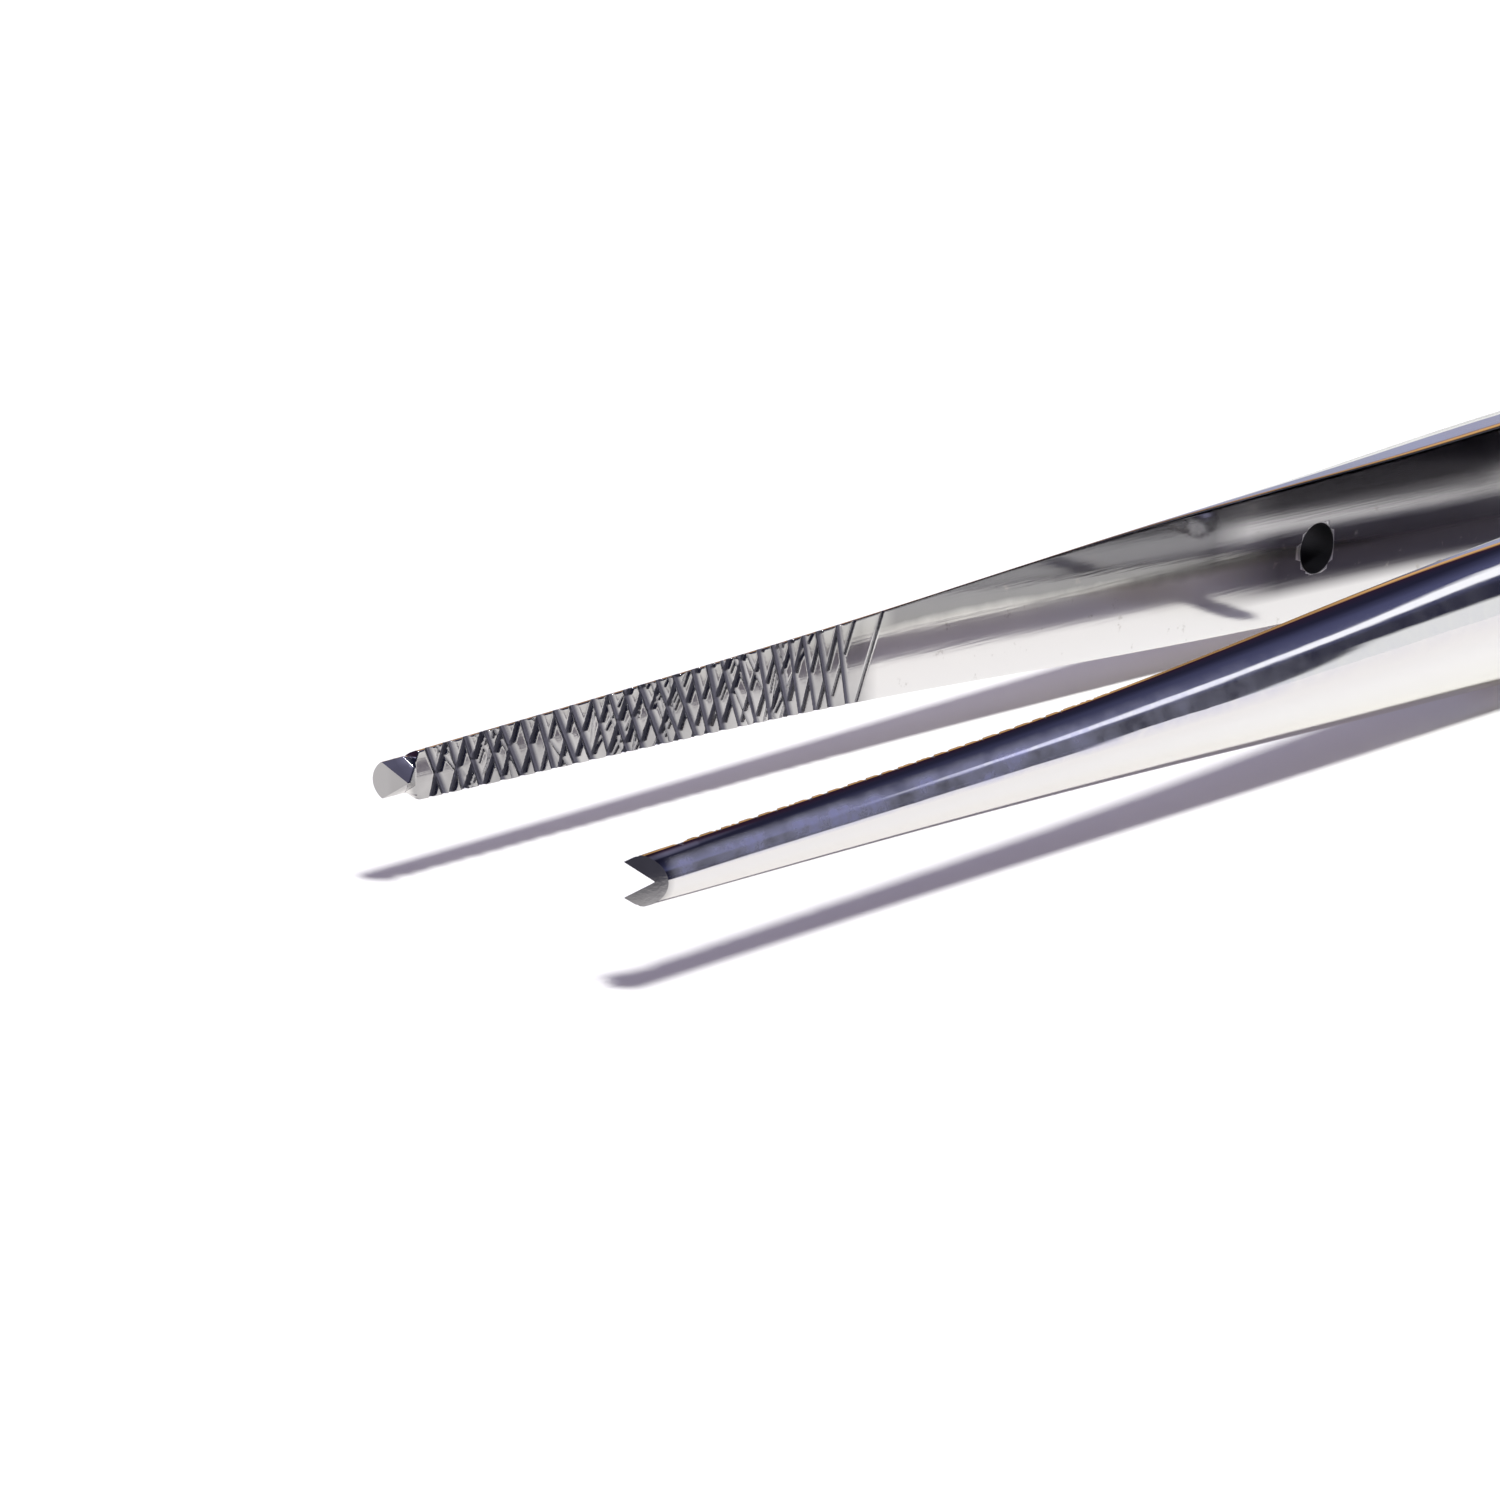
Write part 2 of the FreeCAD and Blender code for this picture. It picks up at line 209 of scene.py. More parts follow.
# The room that the steel mirrors. Headings turn from +X towards +Y, and heights are above the
# horizon.
class RoomLayout(bpy.types.PropertyGroup):
    low_turn: angle_span("Low turn", "Headings where the low light's top climbs", -46.0, -38.0)
    low_top: angle_span("Low top", "Heights of its top at those headings", -8.0, 14.5)
    window_turn: angle_span("Window turn", "Headings where the window line climbs", -46.0, -36.0)
    window_height: angle_span("Window height", "Heights of the line at those headings", 21.0, 28.0)
    window_end: angle("Window end", "Heading up to which the line climbs on", -20.0)
    window_rise: angle("Window rise", "How far the line climbs up to there", 4.0)
    window_reach: angle_span("Window reach", "Headings between which the line shows", -44.5, -14.0)
    glow_reach: angle_span("Glow reach", "Headings between which the window glows", -75.0, -12.0)
    glow_above: angle_span("Glow above", "Heights above the line where the glow fades", 2.3, 18.3)
    glow_below: angle_span("Glow below", "Heights below the line where the glow sets in", -5.2, -1.15)
    maroon_turn: angle_span("Maroon turn", "Headings between which the dark turns maroon", -5.0, 10.0)
    haze_reach: angle_span("Haze reach", "Headings between which the hazy strip lies", 25.0, 70.0)
    haze_height: angle_span("Haze height", "Heights between which the hazy strip lies", 15.0, 18.5)
    warm_reach: angle_span("Warm reach", "Headings between which the warm light lies", 17.0, 70.0)
    warm_height: angle_span("Warm height", "Heights between which the warm light lies", 19.5, 42.0)
    top_height: angle_span("Top height", "Heights where the overhead light sets in", 52.27, 63.73)
    ground_slope: FloatProperty(
        name="Ground slope", description="Slant of the dark ground's edge", default=0.43)
    ground_edge: length("Ground edge", "How far in front of the middle the dark ground starts", 50.0)
    ground_aside: length("Ground aside", "How far off to the side the dark ground starts", 59.5)
    tip_ground_x: length_span("Ground at the tips", "Places along X where it darkens", -83.0, -79.5)
    tip_ground_y: length_span("Ground beside the tips", "Places along Y where it darkens", -6.0, -2.0)


class StageLook(bpy.types.PropertyGroup):
    floor: colour("Floor", "Colour of the floor", (0.9, 0.9, 0.9))
    floor_in_steel: colour("Floor in the steel", "Colour of the floor in reflections", (0.9, 0.885, 0.83))
    low_light: colour("Low surroundings", "Colour of the surroundings near the horizon", (1.0, 1.0, 0.98))
    dark: colour("Dark surroundings", "Colour of the surroundings above the low light", (0.02, 0.02, 0.045))
    top_light: colour("Top light", "Colour of the soft light overhead", (0.65, 0.63, 0.92))
    maroon: colour("Maroon", "Colour of the dark surroundings beyond the heel", (0.035, 0.016, 0.036))
    warm: colour("Warm light", "Colour of the warm light behind", (0.85, 0.48, 0.19))
    haze: colour("Haze", "Colour of the pale strip behind, under the warm light", (0.42, 0.44, 0.62))
    glow: colour("Glow", "Colour of the glow round the window", (0.095, 0.1, 0.205))
    lamp_strength: FloatProperty(name="Lamp", description="Strength of the lamp", default=3.45, min=0.0)
    lamp_size: angle("Lamp size", "Angle that the soft lamp fills", 8.0)
    lamp_towards: FloatVectorProperty(
        name="Lamp direction", description="Direction from the forceps to the lamp",
        default=(-0.15, -0.47, 1.0), subtype="DIRECTION")
    camera_place: FloatVectorProperty(
        name="Camera", description="Place of the camera", default=(-0.130623, -0.074614, 0.037858),
        subtype="TRANSLATION", precision=5)
    camera_heading: angle("Heading", "Heading of the camera from +Y towards +X", 42.987064)
    camera_dip: angle("Dip", "How far the camera looks down", 17.934521)
    camera_roll: angle("Roll", "Roll of the camera", 0.410901)
    camera_lens: FloatProperty(
        name="Lens", description="Focal length for a sensor 36 mm wide", default=70.7375, min=1.0,
        unit="CAMERA")


# A smooth curve through the station values, as a natural cubic spline
def smooth_curve(places, values):
    places = np.asarray(places)
    values = np.asarray(values)
    count = len(places)
    steps = np.diff(places)
    system = np.zeros((count, count))
    right = np.zeros(count)
    system[0, 0] = system[-1, -1] = 1.0
    for i in range(1, count - 1):
        system[i, i - 1] = steps[i - 1]
        system[i, i] = 2.0 * (steps[i - 1] + steps[i])
        system[i, i + 1] = steps[i]
        slope_before = (values[i] - values[i - 1]) / steps[i - 1]
        right[i] = 6.0 * ((values[i + 1] - values[i]) / steps[i] - slope_before)
    bends = np.linalg.solve(system, right)

    def at(x):
        x = np.clip(x, places[0], places[-1])
        i = np.clip(np.searchsorted(places, x) - 1, 0, count - 2)
        h = steps[i]
        left = (places[i + 1] - x) / h
        rest = (x - places[i]) / h
        bend = ((left**3 - left) * bends[i] + (rest**3 - rest) * bends[i + 1]) * h * h / 6.0
        return left * values[i] + rest * values[i + 1] + bend

    return at


# The arm's gap, half width, depth and dome as functions of the distance from the tip
class ArmProfile:
    def __init__(self, scene):
        lengths = scene.forceps_lengths
        sections = scene.forceps_sections
        self.places = [
            0.0, lengths.jaw_middle_at, lengths.jaw, lengths.waist_at, lengths.guide_at,
            lengths.shank_at, lengths.grip_front_at, lengths.grip_rear_at, lengths.spring_at,
            lengths.weld_at, lengths.overall,
        ]
        rows = [
            sections.tip, sections.jaw_middle, sections.jaw_end, sections.waist, sections.guide,
            sections.shank, sections.grip_front, sections.grip_rear, sections.spring,
            sections.weld, sections.heel,
        ]
        columns = np.array([list(row) for row in rows])
        self.crown = smooth_curve(self.places, columns[:, 0] / 2.0 + columns[:, 2])
        self.shoulder = smooth_curve(self.places, columns[:, 0] / 2.0 + columns[:, 2] - columns[:, 3])
        self.width = smooth_curve(self.places, columns[:, 1])
        self.jaw_end = lengths.jaw
        self.weld_at = lengths.weld_at
        self.overall = lengths.overall
        self.tip_gap = columns[0, 0]
        self.jaw_gap = columns[2, 0]
        self.body_gap = self.clamped_gap(self.places[2:-1], columns[2:-1, 0])
        self.grip_half = sections.grip_width / 2.0
        self.least_side = sections.least_side
        self.corner = lengths.heel_corner
        self.heel_radius = (self.grip_half**2 + self.corner**2) / (2.0 * self.corner)

    # The inner line leaves the jaw in line with it and meets the weld along the middle
    def clamped_gap(self, places, gaps):
        step = 0.5 * MM
        slope = (self.jaw_gap - self.tip_gap) / self.jaw_end
        return smooth_curve(
            [places[0] - step, *places, places[-1] + step], [gaps[0] - slope * step, *gaps, 0.0]
        )

    def inner(self, x):
        jaw = self.tip_gap + (self.jaw_gap - self.tip_gap) * x / self.jaw_end
        body = np.maximum(self.body_gap(x), 0.0)
        gap = np.where(x < self.jaw_end, jaw, body)
        return np.where(x > self.weld_at, 0.0, gap) / 2.0

    def depth(self, x):
        return self.crown(x) - self.inner(x)

    # Height of the straight sides, which almost fade out in front of the guide
    def side(self, x):
        return np.maximum(self.shoulder(x) - self.inner(x), self.least_side)

    def dome(self, x):
        return self.depth(x) - self.side(x)

    # How far the rounded heel lets the width reach
    def heel_half(self, x):
        centre = self.overall - self.heel_radius
        inside = np.maximum(self.heel_radius**2 - np.maximum(x - centre, 0.0) ** 2, 0.0)
        reach = np.sqrt(inside)
        return np.where(x > self.overall - self.corner, np.minimum(reach, self.grip_half), self.grip_half)


# Distances of the rings from the tip: close on the jaw and the flutes, wider elsewhere
def ring_places(profile, flutes):
    jaw_step = 0.045 * MM
    body_step = 0.4 * MM
    flute_step = 0.12 * MM
    rear_step = 0.75 * MM
    heel_steps = 14
    end_room = 0.004 * MM
    flute_start = flutes.first_at - flutes.width
    flute_end = flutes.first_at + (flutes.count - 1) * flutes.pitch + flutes.width
    jaw_reach = profile.jaw_end + 1.2 * MM
    heel_start = profile.overall - profile.corner
    stretches = [
        (0.0, jaw_reach, jaw_step),
        (jaw_reach, flute_start, body_step),
        (flute_start, flute_end, flute_step),
        (flute_end, heel_start, rear_step),
    ]
    places = []
    for start, end, step in stretches:
        count = max(1, round((end - start) / step))
        places.extend(start + (end - start) * i / count for i in range(count))
    turn = [math.sin(i / heel_steps * math.pi / 2.0) for i in range(heel_steps)]
    places.extend(heel_start + profile.corner * t for t in turn)
    places.append(profile.overall - end_room)
    return np.array(places)


# The serrations as cuts below the jaw's flat face, each with its place, slant, depth and width.
# They are filed by hand, so each is a little off. Towards the rear of the jaw the first set
# stands up and the second set thins out, and fine stray marks lie among them.
def jaw_cuts(scene, seed):
    jaw = scene.forceps_jaw
    jaw_end = scene.forceps_lengths.jaw
    chance = random.Random(seed)
    place_off = 0.13
    slant_off = math.radians(3.5)
    rear_from = 0.55
    count = int((jaw_end - jaw.groove_start) / jaw.groove_pitch)
    cuts = []
    for sign in (1.0, -1.0):
        for number in range(count):
            rear = max(0.0, (number + 0.5) / count - rear_from) / (1.0 - rear_from)
            off = chance.uniform(-place_off, place_off)
            at = jaw.groove_start + jaw.groove_pitch * (number + 0.5 + off)
            slant = sign * jaw.groove_slant + chance.uniform(-slant_off, slant_off)
            depth = jaw.groove_depth * chance.uniform(0.62, 1.1)
            width = jaw.groove_width * chance.uniform(0.7, 1.1)
            if sign > 0.0:
                slant *= 1.0 - 0.5 * rear
            else:
                depth *= 1.0 - 0.45 * rear
                width *= 0.85 - 0.15 * rear
            cuts.append((at, slant, depth, width))
    return cuts + stray_cuts(jaw, jaw_end, chance)


# Fine marks that the file left beside the serrations
def stray_cuts(jaw, jaw_end, chance):
    past_jaw = 0.3 * MM
    cuts = []
    for _ in range(jaw.stray_marks):
        at = chance.uniform(jaw.groove_start, jaw_end + past_jaw)
        slant = math.radians(chance.choice((-1.0, 1.0)) * chance.uniform(8.0, 38.0))
        cuts.append((at, slant, chance.uniform(0.05, 0.09) * MM, chance.uniform(0.12, 0.2) * MM))
    return cuts


# Depth of the serrations at a distance from the tip and a place across the jaw
def cut_depth(cuts, x, across):
    depth = np.zeros(np.broadcast(x, across).shape)
    for at, slant, deepest, width in cuts:
        offset = np.abs((x - at) * math.cos(slant) + across * math.sin(slant))
        depth = np.maximum(depth, deepest * (1.0 - offset / (width / 2.0)))
    return depth


# Height of the far jaw's single tooth and the hollows beside it, above the jaw's flat face
def single_tooth_height(jaw, x, across):
    run = jaw.tooth_run + jaw.tooth_back_run
    flank = (jaw.tooth_height + jaw.hollow_depth) / (jaw.tooth_spacing / 2.0)
    slope = np.clip((run - x) / jaw.tooth_back_run, 0.0, 1.0)
    deepest = 2.0 * MM
    return np.clip(jaw.tooth_height - flank * np.abs(across), -deepest * slope, jaw.tooth_height * slope)


# Height of the near jaw's two teeth and the notch between them
def two_teeth_height(jaw, x, across, edge):
    run = jaw.tooth_run + jaw.tooth_back_run
    half = jaw.tooth_spacing / 2.0
    flank = (jaw.tooth_height + jaw.hollow_depth) / half
    slope = np.clip((run - x) / jaw.tooth_back_run, 0.0, 1.0)
    reach = np.abs(across)
    notch = flank * reach - jaw.tooth_height
    outside = jaw.hollow_depth * (edge - reach) / (edge - half)
    teeth = np.minimum(np.minimum(notch, outside), jaw.hollow_depth * slope)
    notch_front = jaw.tooth_run + jaw.tooth_back_run / 2.0
    notch_rear = run + 2.0 * jaw.tooth_back_run
    fall = np.clip((notch_rear - x) / (notch_rear - notch_front), 0.0, 1.0)
    notch_room = 1.0 * MM
    return np.maximum(teeth, -(jaw.tooth_height + notch_room) * fall)


# One arm as rings of points, each point given as distance from the tip, place across the width
# and depth from the inner face, with the depth of its serration beside it
class ArmShape:
    inner_count = 52
    corner_count = 4
    side_count = 3
    back_count = 31
    settling_rounds = 6
    end_reach = 2.6 * MM
    least_wall = 0.03 * MM

    def __init__(self, scene, single_tooth, seed):
        self.jaw = scene.forceps_jaw
        self.flutes = scene.forceps_flutes
        self.profile = ArmProfile(scene)
        self.single_tooth = single_tooth
        self.edge_round = scene.forceps_sections.edge_round
        self.cuts = jaw_cuts(scene, seed)
        self.places = ring_places(self.profile, self.flutes)
        self.tip_half = scene.forceps_sections.tip[1] / 2.0
        self.tip_depth = scene.forceps_sections.tip[2]

    def face_height(self, x, across):
        if self.single_tooth:
            return single_tooth_height(self.jaw, x, across)
        return two_teeth_height(self.jaw, x, across, self.tip_half)

    # Depth of the worked inner surface below the flat face, negative where a tooth stands
    def face_depth(self, x, across):
        tooth_end = 0.6 * self.jaw.groove_start
        cuts = np.where(x > tooth_end, cut_depth(self.cuts, x, across), 0.0)
        return cuts - self.face_height(x, across), cuts

    # Half width, height and radius of the domed back
    def back_arc(self, x):
        half = self.profile.width(x) / 2.0
        dome = self.profile.dome(x)
        return half, dome, (half**2 + dome**2) / (2.0 * dome)

    def back_depth(self, x, across):
        _, dome, radius = self.back_arc(x)
        inside = np.sqrt(np.maximum(radius**2 - across**2, 0.0))
        return self.profile.side(x) + inside - (radius - dome)

    # The width that is left where the hollows beside the tooth cut through the back
    def half_width(self, x):
        half = min(self.profile.width(x) / 2.0, float(self.profile.heel_half(x)))
        if x > self.jaw.tooth_run + self.jaw.tooth_back_run:
            return half
        sample_count = 160
        samples = np.linspace(0.0, half, sample_count)
        depth, _ = self.face_depth(x, samples)
        open_at = np.nonzero(self.back_depth(x, samples) < np.maximum(depth, 0.0) + self.least_wall)[0]
        return half if len(open_at) == 0 else samples[max(open_at[0] - 1, 1)]

    # Across and base depth of each point of one ring, from the low edge over the inner face
    def ring_outline(self, x):
        half = self.half_width(x)
        back_edge = self.back_depth(x, half)
        round_edge = min(self.edge_round, half * 0.3, back_edge * 0.4)
        flat = np.linspace(-1.0, 1.0, self.inner_count) * (half - round_edge)
        turn = np.linspace(0.0, math.pi / 2.0, self.corner_count + 1)[1:]
        corner_across = half - round_edge + round_edge * np.sin(turn)
        corner_depth = round_edge * (1.0 - np.cos(turn))
        side_depth = np.linspace(round_edge, back_edge, self.side_count + 2)[1:]
        side_across = np.full(len(side_depth), half)
        full_half, dome, radius = self.back_arc(x)
        widest = math.asin(min(half / radius, 1.0))
        if dome > full_half:
            widest = math.pi - widest
        turns = np.linspace(widest, -widest, self.back_count + 2)[1:-1]
        back_across = radius * np.sin(turns)
        back_depth = self.back_depth(x, back_across)
        across = np.concatenate([
            flat, corner_across, side_across, back_across, -side_across, -corner_across[::-1],
        ])
        depth = np.concatenate([
            np.zeros(self.inner_count), corner_depth, side_depth, back_depth, side_depth[::-1],
            corner_depth[::-1],
        ])
        return across, depth

    def fluted(self, x, depth):
        flutes = self.flutes
        for number in range(flutes.count):
            at = flutes.first_at + number * flutes.pitch
            if abs(x - at) < flutes.width:
                crown = float(self.profile.crown(at) - self.profile.inner(x))
                limit = crown - flutes.depth + abs(x - at) * flutes.depth / (flutes.width / 2.0)
                depth = np.minimum(depth, limit)
        return depth

    # How far the slanted end sets a point back
    def end_shift(self, depth):
        if self.single_tooth:
            slope = self.jaw.far_bevel / (self.jaw.tooth_height + self.tip_depth)
            return (self.tip_depth - depth) * slope
        slope = self.jaw.near_bevel / (self.jaw.hollow_depth + self.tip_depth)
        return (depth + self.jaw.hollow_depth) * slope

    # Sinks the serrations, the tooth and the slanted end into one ring on the jaw
    def worked_ring(self, place, across, base):
        fade = max(0.0, 1.0 - place / self.end_reach)
        face = np.arange(len(across)) < self.inner_count
        x = np.full(len(across), place)
        for _ in range(self.settling_rounds if fade > 0.0 else 1):
            surface, cuts = self.face_depth(x, across)
            depth = np.where(face, surface, np.maximum(base, surface))
            cuts = np.where(depth > base, cuts, 0.0)
            depth = np.minimum(depth, np.maximum(self.back_depth(place, across), base))
            x = place + self.end_shift(depth) * fade
        return x, depth, cuts

    def rings(self):
        past_jaw = 1.5 * MM
        made = []
        for place in self.places:
            across, base = self.ring_outline(place)
            if place < self.profile.jaw_end + past_jaw:
                x, depth, cuts = self.worked_ring(place, across, base)
            else:
                x, depth, cuts = np.full(len(across), place), base, np.zeros(len(across))
            made.append(np.stack([x, across, self.fluted(place, depth), cuts], axis=1))
        return np.array(made)


# Turns the rings into a closed mesh. The sign is +1 for the far arm and -1 for the near arm.
def arm_object(name, shape, sign, middle):
    rings = shape.rings()
    ring_count, loop_count, _ = rings.shape
    flat = rings.reshape(-1, 4)
    x, across, depth, cuts = flat.T
    place = np.repeat(shape.places, loop_count)
    inner = shape.profile.inner(place)
    half_length = shape.profile.overall / 2.0
    points = np.stack([x - half_length, sign * (inner + depth), across + middle], axis=1)
    ring_index = np.arange(ring_count - 1)[:, None] * loop_count
    loop_index = np.arange(loop_count)[None, :]
    following = (loop_index + 1) % loop_count
    quads = np.stack([
        ring_index + loop_index, ring_index + following,
        ring_index + loop_count + following, ring_index + loop_count + loop_index,
    ], axis=-1).reshape(-1, 4)
    start_cap = list(range(loop_count))[::-1]
    end_cap = list(range((ring_count - 1) * loop_count, ring_count * loop_count))
    faces = [list(map(int, quad)) for quad in quads] + [start_cap, end_cap]
    if sign > 0.0:
        faces = [face[::-1] for face in faces]
    mesh = bpy.data.meshes.new(name)
    mesh.from_pydata(points.tolist(), [], faces)
    share = across / (shape.profile.width(place) / 2.0)
    places = np.stack([x, across, depth], axis=1)
    write_attributes(mesh, places, {"serration": cuts / MM, "width_share": share})
    made = bpy.data.objects.new(name, mesh)
    bpy.context.scene.collection.objects.link(made)
    mesh.validate()
    sharpen_caps(mesh, loop_count, ring_count)
    return made


# Where each point lies on its arm, how deep its serration is in millimetres, and its place
# across the width as a share of the half width, for the materials
def write_attributes(mesh, places, values):
    place = mesh.attributes.new("arm_place", "FLOAT_VECTOR", "POINT")
    place.data.foreach_set("vector", places.astype(np.float32).ravel())
    for name, value in values.items():
        made = mesh.attributes.new(name, "FLOAT", "POINT")
        made.data.foreach_set("value", value.astype(np.float32))


def sharpen_caps(mesh, loop_count, ring_count):
    last = (ring_count - 1) * loop_count
    for polygon in mesh.polygons:
        polygon.use_smooth = True
    for edge in mesh.edges:
        low, high = sorted(edge.vertices)
        if high < loop_count or low >= last:
            edge.use_edge_sharp = True


# Cuts the guide hole through the far arm
def bore_hole(arm, scene):
    lengths = scene.forceps_lengths
    jaw = scene.forceps_jaw
    profile = ArmProfile(scene)
    middle = scene.forceps_sections.grip_width / 2.0
    sides = 64
    reach = 6.0 * MM
    inner = float(profile.inner(np.array(lengths.guide_at)))
    x = lengths.guide_at - lengths.overall / 2.0
    radius = jaw.hole / 2.0
    points = []
    for y in (inner - reach, inner + 2.0 * reach):
        for i in range(sides):
            turn = 2.0 * math.pi * i / sides
            points.append((x + radius * math.cos(turn), y, middle + radius * math.sin(turn)))
    faces = [[i, sides + i, sides + (i + 1) % sides, (i + 1) % sides] for i in range(sides)]
    faces += [list(range(sides)), list(range(sides, 2 * sides))[::-1]]
    mesh = bpy.data.meshes.new("hole_cutter")
    mesh.from_pydata(points, [], faces)
    cutter = bpy.data.objects.new("hole_cutter", mesh)
    bpy.context.scene.collection.objects.link(cutter)
    cut = arm.modifiers.new("guide hole", "BOOLEAN")
    cut.object = cutter
    cut.solver = "EXACT"
    bpy.context.view_layer.update()
    graph = bpy.context.evaluated_depsgraph_get()
    bored = bpy.data.meshes.new_from_object(arm.evaluated_get(graph))
    arm.modifiers.remove(cut)
    arm.data = bored
    bpy.data.objects.remove(cutter)


# One node of a material, with plain values or links for its inputs
def node(tree, kind, inputs=None, **settings):
    made = tree.nodes.new(kind)
    for name, value in settings.items():
        setattr(made, name, value)
    for name, value in (inputs or {}).items():
        socket = made.inputs[name]
        if isinstance(value, bpy.types.NodeSocket):
            tree.links.new(value, socket)
        else:
            socket.default_value = value
    return made


# One step of arithmetic on plain values or links
def maths(tree, operation, *values, clamp=False):
    made = node(tree, "ShaderNodeMath", operation=operation, use_clamp=clamp)
    for socket, value in zip(made.inputs, values):
        if isinstance(value, bpy.types.NodeSocket):
            tree.links.new(value, socket)
        else:
            socket.default_value = value
    return made.outputs[0]


def product(tree, first, *others):
    for other in others:
        first = maths(tree, "MULTIPLY", first, other)
    return first


# Goes from the first colour to the second as the factor goes from 0 to 1
def blend_colours(tree, factor, first, second):
    made = node(tree, "ShaderNodeMix", data_type="RGBA")
    factor_in, first_in, second_in, colour_out = 0, 6, 7, 2
    for index, value in ((factor_in, factor), (first_in, first), (second_in, second)):
        socket = made.inputs[index]
        if isinstance(value, bpy.types.NodeSocket):
            tree.links.new(value, socket)
        else:
            socket.default_value = (*value, 1.0)
    return made.outputs[colour_out]


# Maps a value from one range to another, clamped
def remap(tree, value, low, high, new_low=0.0, new_high=1.0):
    made = node(tree, "ShaderNodeMapRange", {
        "Value": value, "From Min": low, "From Max": high, "To Min": new_low, "To Max": new_high,
    }, clamp=True)
    return made.outputs[0]


# How much of a value lies between two limits, with soft ends
def between(tree, value, limits, soft):
    low, high = limits
    rising = remap(tree, value, low - soft, low + soft)
    falling = remap(tree, value, high - soft, high + soft, 1.0, 0.0)
    return product(tree, rising, falling)


def noise(tree, spot, scale, detail, roughness=0.5):
    made = node(tree, "ShaderNodeTexNoise", {
        "Vector": spot, "Scale": scale, "Detail": detail, "Roughness": roughness,
    })
    return made.outputs["Fac"]


def attribute(tree, name, output="Fac"):
    return node(tree, "ShaderNodeAttribute", attribute_name=name).outputs[output]


# The place of the shaded point in its own object's axes, as a vector and as X, Y and Z
def own_place(tree):
    where = node(tree, "ShaderNodeTexCoord").outputs["Object"]
    parts = node(tree, "ShaderNodeSeparateXYZ", {"Vector": where})
    return where, parts.outputs["X"], parts.outputs["Y"], parts.outputs["Z"]


def new_material(name):
    made = bpy.data.materials.new(name)
    made.use_nodes = True
    made.node_tree.nodes.clear()
    return made, made.node_tree


def finish_material(tree, shader):
    output = node(tree, "ShaderNodeOutputMaterial")
    tree.links.new(shader.outputs[0], output.inputs["Surface"])


# Where a point lies on its arm, from the values kept on the mesh, and which face it is on.
# The spot is for noise, and is moved on by the seed so that the arms differ.
class ArmSpot:
    def __init__(self, tree, seed):
        place = attribute(tree, "arm_place", "Vector")
        parts = node(tree, "ShaderNodeSeparateXYZ", {"Vector": place})
        self.along = parts.outputs["X"]
        self.depth = parts.outputs["Z"]
        self.share = attribute(tree, "width_share")
        moved = node(tree, "ShaderNodeVectorMath", operation="ADD")
        tree.links.new(place, moved.inputs[0])
        moved.inputs[1].default_value = (seed, seed * 0.37, 0.0)
        self.spot = moved.outputs[0]
        self.on_back = remap(tree, self.depth, 0.1 * MM, 0.3 * MM)
        self.on_jaw_face = remap(tree, self.depth, 0.1 * MM, 0.3 * MM, 1.0, 0.0)
        self.on_face = remap(tree, self.depth, 0.06 * MM, 0.2 * MM, 1.0, 0.0)


# A painted bluish sheen on the upper back near the tip, on the side that the lamp lights, mottled, and
# fading out towards the guide
def tip_sheen(tree, arm, wear):
    band_soft = 0.1
    rest = 0.15
    patches = remap(tree, noise(tree, arm.spot, 700.0, 4.0, 0.65), 0.36, 0.66, 0.25, 1.0)
    fading = remap(tree, arm.along, *wear.painted_sheen_fade, 1.0, rest)
    behind_tip = remap(tree, arm.along, *wear.painted_sheen_start)
    upper = between(tree, arm.share, wear.painted_sheen_band, band_soft)
    return product(tree, patches, fading, arm.on_back, upper, behind_tip)


# A painted reflection on the upper inner face between the jaw and the guide: a grey zone in the colour
# where the near arm is mirrored, with a wavy lower edge
def painted_inner_reflection(tree, arm, wear):
    waviness = 0.26
    edge_soft = 0.11
    end_soft = 1.2 * MM
    wave = noise(tree, arm.spot, 330.0, 5.0, 0.62)
    lifted = maths(tree, "ADD", arm.share, maths(tree, "MULTIPLY_ADD", wave, waviness, -waviness / 2.0))
    lowest = remap(tree, arm.along, *wear.painted_reflection_fall, *wear.painted_reflection_edge)
    upper = remap(tree, maths(tree, "SUBTRACT", lifted, lowest), -edge_soft, edge_soft)
    stretch = between(tree, arm.along, wear.painted_reflection_reach, end_soft)
    return product(tree, upper, stretch, arm.on_face)


# Small stains on the inner face behind the jaw
def inner_stains(tree, arm, wear):
    spots = remap(tree, noise(tree, arm.spot, 1100.0, 5.0, 0.7), 0.62, 0.7)
    return product(tree, spots, remap(tree, arm.along, *wear.stain_start), arm.on_face)


# A painted dark reflection on the inner face behind the guide hole, with a brighter painted reflection
# stripe along it
def painted_reflection_bands(tree, arm, wear):
    stripe_half = 0.15
    stripe_soft = 0.09
    stripe_kept = 0.55
    least_kept = 0.17
    end_soft = 3.0 * MM
    stripe_at = remap(tree, arm.along, *wear.stripe_fall, *wear.stripe_place)
    off_stripe = maths(tree, "SUBTRACT", arm.share, stripe_at)
    stripe = product(tree, between(tree, off_stripe, (-stripe_half, stripe_half), stripe_soft), stripe_kept)
    low = remap(tree, arm.share, *wear.painted_band_edge, 1.0, 0.0)
    kept = maths(tree, "MAXIMUM", low, maths(tree, "ADD", stripe, least_kept))
    stretch = between(tree, arm.along, wear.painted_band_reach, end_soft)
    return product(tree, maths(tree, "SUBTRACT", 1.0, kept), stretch, arm.on_face)
